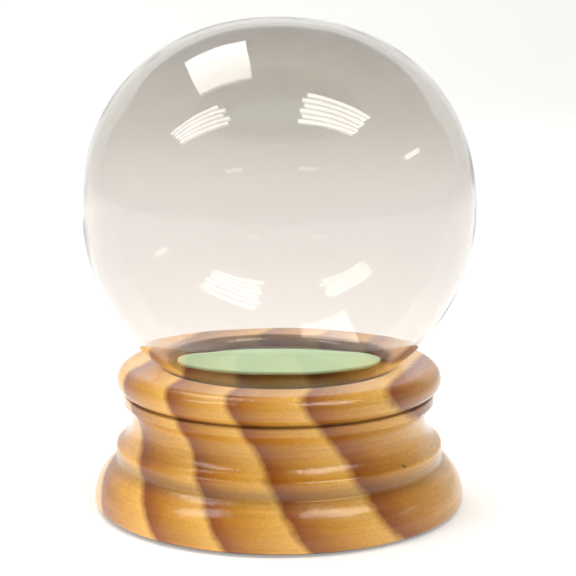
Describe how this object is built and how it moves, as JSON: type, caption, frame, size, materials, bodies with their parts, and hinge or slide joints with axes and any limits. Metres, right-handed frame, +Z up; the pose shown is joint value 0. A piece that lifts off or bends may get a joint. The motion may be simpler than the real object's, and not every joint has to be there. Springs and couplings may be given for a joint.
{
  "type": "crystal ball on stand",
  "caption": "Hollow glass globe with a stoppered neck and an oval green plate inside, resting in the recess of a turned pine stand.",
  "frame": {"origin": "middle of the underside, on the surface the stand rests on", "axes": "+Z up along the turning axis, -Y towards the viewer, +X to the viewer's right along the oval plate"},
  "size_m": [0.1, 0.1, 0.1246],
  "materials": {
    "lacquered_pine": "turned light pine under a clear gloss lacquer",
    "green_felt": "pressed wool felt",
    "brown_felt": "pressed wool felt",
    "stopper_rubber": "moulded brown rubber, semi-gloss",
    "plate_enamel": "flat mint-green enamel",
    "globe_glass": "clear blown glass with a faint warm-grey tint"
  },
  "bodies": {
    "stand": {"turned_stand": "lacquered_pine", "foot_felt": "green_felt"},
    "turning_seat": {"seat_felt": "brown_felt"},
    "stopper": {"neck_stopper": "stopper_rubber", "oval_plate": "plate_enamel"},
    "globe": {"glass_globe": "globe_glass"}
  },
  "joints": [
    {"name": "globe_turn", "type": "hinge", "parent": "stand", "child": "turning_seat", "pos_m": [0, 0, 0.0194], "axis": [0, 0, 1], "continuous": true},
    {"name": "stopper_lift", "type": "slide", "parent": "turning_seat", "child": "stopper", "axis": [0, 0, 1], "range_m": [0, 0.06]},
    {"name": "globe_lift", "type": "slide", "parent": "stopper", "child": "globe", "axis": [0, 0, 1], "range_m": [0, 0.11]}
  ]
}
